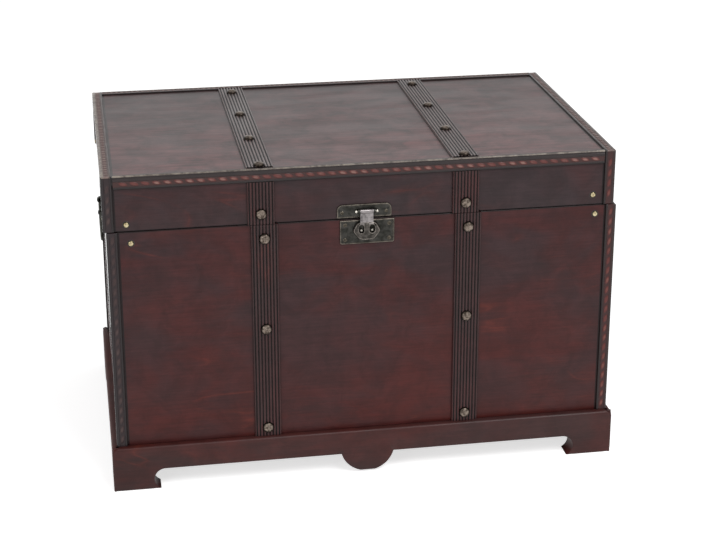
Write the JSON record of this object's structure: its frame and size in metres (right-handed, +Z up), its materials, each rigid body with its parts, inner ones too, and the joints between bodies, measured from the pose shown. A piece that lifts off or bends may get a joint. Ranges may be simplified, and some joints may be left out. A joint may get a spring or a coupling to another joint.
{
  "type": "sea chest",
  "caption": "Rectangular wooden storage chest on a bracket plinth, with a hinged lid on a slotted stay, reeded straps, a hanging hasp over snap studs and a bail handle on each side.",
  "frame": {"origin": "on the floor, under the middle of the chest's outer box", "axes": "+X to the chest's right as seen from the front, +Y to its back, +Z up"},
  "size_m": [0.6122, 0.369, 0.3974],
  "materials": {
    "board": "dark mahogany stain under satin lacquer",
    "inside": "dark stain, matt",
    "plinth": "dark mahogany stain under satin lacquer",
    "trim": "moulded and rubbed, dark red-brown with lighter red lozenges",
    "strap": "reeded, almost black stain under satin lacquer",
    "stud": "antique, hammered",
    "latch": "dark antique with bright rubbed rims",
    "pin": "bright",
    "handle": "dark antique",
    "stay": "plated, satin"
  },
  "bodies": {
    "chest": {"plinth_front": "plinth", "plinth_right": "plinth", "plinth_back": "plinth", "plinth_left": "plinth", "body_front": "board", "body_back": "board", "body_left": "board", "body_right": "board", "body_bottom": "inside", "body_strap_left": "strap", "body_strap_right": "strap", "body_stud_left_bottom": "stud", "body_stud_left_middle": "stud", "body_stud_left_top": "stud", "body_stud_right_bottom": "stud", "body_stud_right_middle": "stud", "body_stud_right_top": "stud", "body_corner_front_left": "trim", "body_corner_front_right": "trim", "body_corner_back_left": "trim", "body_corner_back_right": "trim", "strike_plate": "latch", "handle_plate_left": "handle", "handle_plate_right": "handle", "hinge_body_leaf_left": "latch", "hinge_body_leaf_right": "latch", "stay_post": "stay"},
    "lid": {"lid_panel": "board", "lid_front": "board", "lid_back": "board", "lid_left": "board", "lid_right": "board", "lid_corner_front_left": "trim", "lid_corner_front_right": "trim", "lid_corner_back_left": "trim", "lid_corner_back_right": "trim", "lid_edge_front": "trim", "lid_edge_back": "trim", "lid_edge_left": "trim", "lid_edge_right": "trim", "lid_strap_left": "strap", "lid_strap_right": "strap", "top_strap_left": "strap", "top_strap_right": "strap", "lid_stud_left": "stud", "lid_stud_right": "stud", "top_stud_left_1": "stud", "top_stud_left_2": "stud", "top_stud_left_3": "stud", "top_stud_right_1": "stud", "top_stud_right_2": "stud", "top_stud_right_3": "stud", "hasp_plate": "latch", "hasp_pin": "pin", "hinge_lid_leaf_left": "latch", "hinge_lid_leaf_right": "latch"},
    "hasp": {"hasp": "latch"},
    "stay": {"stay_arm": "stay"},
    "handle_left": {"handle_left": "handle"},
    "handle_right": {"handle_right": "handle"}
  },
  "joints": [
    {"name": "lid_hinge", "type": "hinge", "parent": "chest", "child": "lid", "pos_m": [0, 0.1798, 0.3253], "axis": [-1, 0, 0], "range_deg": [0, 100]},
    {"name": "hasp_hinge", "type": "hinge", "parent": "lid", "child": "hasp", "pos_m": [-0.001, -0.1806, 0.335], "axis": [-1, 0, 0], "range_deg": [0, 170]},
    {"name": "stay_pivot", "type": "hinge", "parent": "lid", "child": "stay", "pos_m": [0.283, 0.07355, 0.35377], "axis": [-1, 0, 0], "range_deg": [-50, 0]},
    {"name": "handle_left_pivot", "type": "hinge", "parent": "chest", "child": "handle_left", "pos_m": [-0.3025, 0, 0.297], "axis": [0, 1, 0], "range_deg": [0, 95]},
    {"name": "handle_right_pivot", "type": "hinge", "parent": "chest", "child": "handle_right", "pos_m": [0.3025, 0, 0.297], "axis": [0, -1, 0], "range_deg": [0, 95]}
  ],
  "couplings": [
    {"joint": "stay_pivot", "follows": "lid_hinge", "ratio": -0.5}
  ]
}
